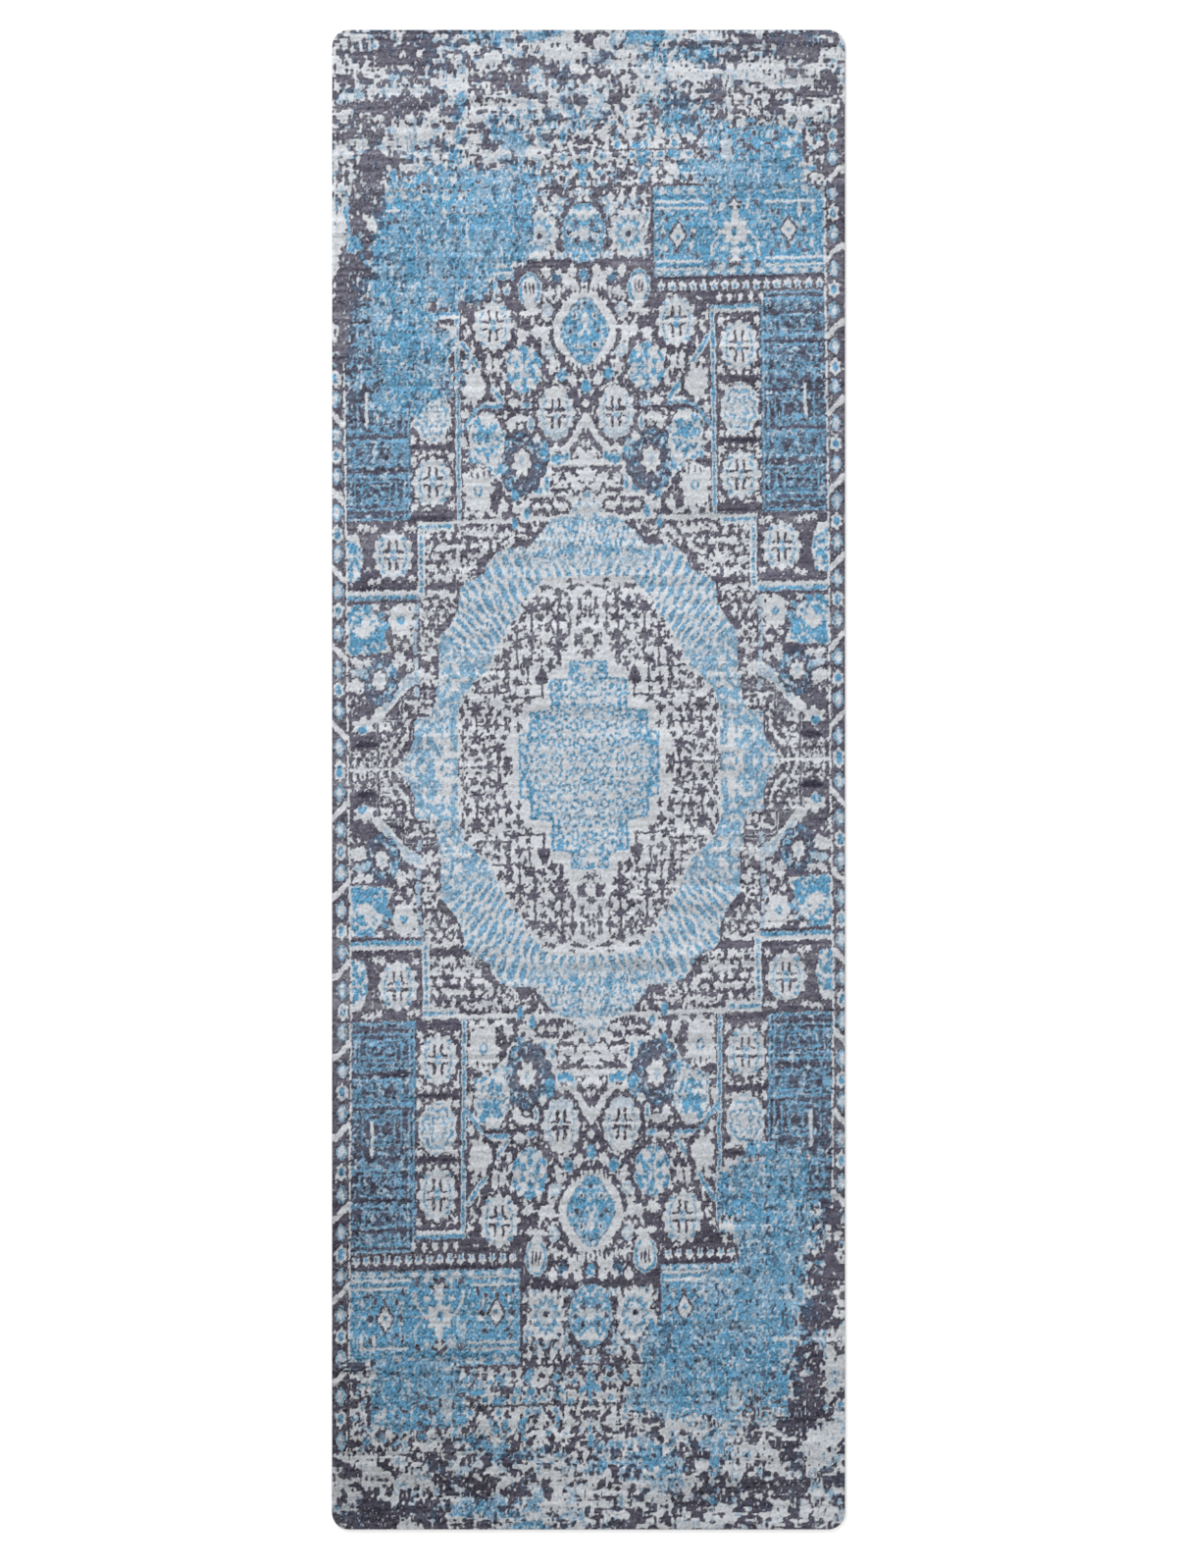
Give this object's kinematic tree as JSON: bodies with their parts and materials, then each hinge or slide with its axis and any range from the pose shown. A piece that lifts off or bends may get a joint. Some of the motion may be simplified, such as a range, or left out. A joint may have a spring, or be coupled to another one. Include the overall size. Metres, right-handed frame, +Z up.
{
  "type": "runner rug",
  "caption": "Long, narrow low-pile runner with a figured face, rounded corners and a ribbed rubber underside, made as one bonded laminate.",
  "frame": {"origin": "middle of the underside, on the floor plane that the rubber ribs touch", "axes": "+X across the rug, +Y along its length, +Z up out of the pile"},
  "size_m": [0.61, 1.783, 0.007],
  "materials": {
    "pile": "short brushed pile with a worn medallion print in charcoal, cream and blue",
    "ground_cloth": "undyed plain-woven cloth",
    "bond_film": "satin hot-melt film",
    "felt": "needled grey felt",
    "rubber": "matt moulded rubber with shallow cross ribs"
  },
  "bodies": {
    "root": {"pile_face": "pile", "ground_cloth": "ground_cloth", "upper_bond_film": "bond_film", "felt_cushion": "felt", "lower_bond_film": "bond_film", "grip_backing": "rubber"}
  },
  "joints": []
}
